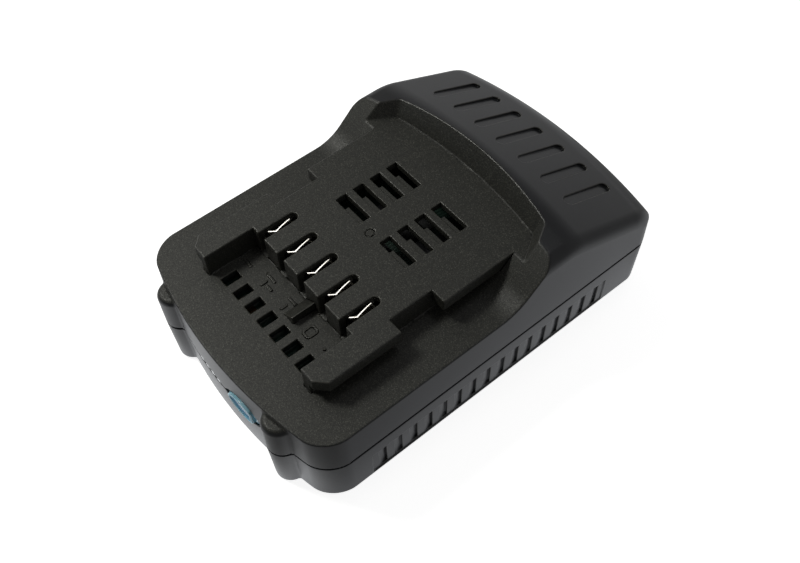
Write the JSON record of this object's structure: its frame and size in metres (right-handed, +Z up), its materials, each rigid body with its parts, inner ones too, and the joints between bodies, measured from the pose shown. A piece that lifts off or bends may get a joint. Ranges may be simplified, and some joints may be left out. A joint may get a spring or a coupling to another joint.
{
  "type": "power tool battery pack",
  "caption": "Slide-on cordless tool battery: bowed two-part case with a rail platform, slotted spring contacts, vents, a grooved hump and a push-button charge gauge.",
  "frame": {"origin": "middle of the underside of the pack", "axes": "+X across the pack, +Y from the gauge end to the hump end, +Z up"},
  "size_m": [0.076, 0.1196, 0.0405],
  "materials": {
    "case_plastic": "spark-grained deck and satin sides, near black",
    "screw_steel": "plated steel",
    "button_plastic": "smooth light blue",
    "clear_plastic": "clear moulded",
    "board_laminate": "green lacquered laminate",
    "led_body": "pale moulded",
    "component_body": "matt black moulding compound",
    "plunger_plastic": "plain moulded",
    "ribbon_film": "amber film",
    "holder_plastic": "plain moulded",
    "cell_sleeve": "shrunk sleeve",
    "nickel": "bright nickel strip",
    "fibre_sheet": "pressed fibre paper",
    "sensor_bead": "coated bead",
    "block_plastic": "plain moulded",
    "contact_nickel": "bright plated spring sheet"
  },
  "bodies": {
    "case": {"upper_case": "case_plastic", "lower_case": "case_plastic", "case_screws": "screw_steel", "light_pipe": "clear_plastic", "gauge_board": "board_laminate", "gauge_leds": "led_body", "switch_body": "component_body", "gauge_ribbon": "ribbon_film", "holder_left": "holder_plastic", "holder_right": "holder_plastic", "cell_1": "cell_sleeve", "cell_2": "cell_sleeve", "cell_3": "cell_sleeve", "cell_4": "cell_sleeve", "cell_5": "cell_sleeve", "strips_left": "nickel", "strips_right": "nickel", "sheet_left": "fibre_sheet", "sheet_right": "fibre_sheet", "control_board": "board_laminate", "board_screws": "screw_steel", "control_chip": "component_body", "power_transistors": "component_body", "thermistor": "sensor_bead", "terminal_block": "block_plastic", "contact_1": "contact_nickel", "contact_2": "contact_nickel", "contact_3": "contact_nickel", "contact_4": "contact_nickel", "contact_5": "contact_nickel"},
    "button": {"gauge_button": "button_plastic"},
    "plunger": {"switch_plunger": "plunger_plastic"}
  },
  "joints": [
    {"name": "button_press", "type": "slide", "parent": "case", "child": "button", "axis": [0, 1, 0], "range_m": [0, 0.0005], "stiffness_N_per_m": 400},
    {"name": "plunger_travel", "type": "slide", "parent": "case", "child": "plunger", "axis": [0, 1, 0], "range_m": [0, 0.0005]}
  ],
  "couplings": [
    {"joint": "plunger_travel", "follows": "button_press", "ratio": 1}
  ]
}
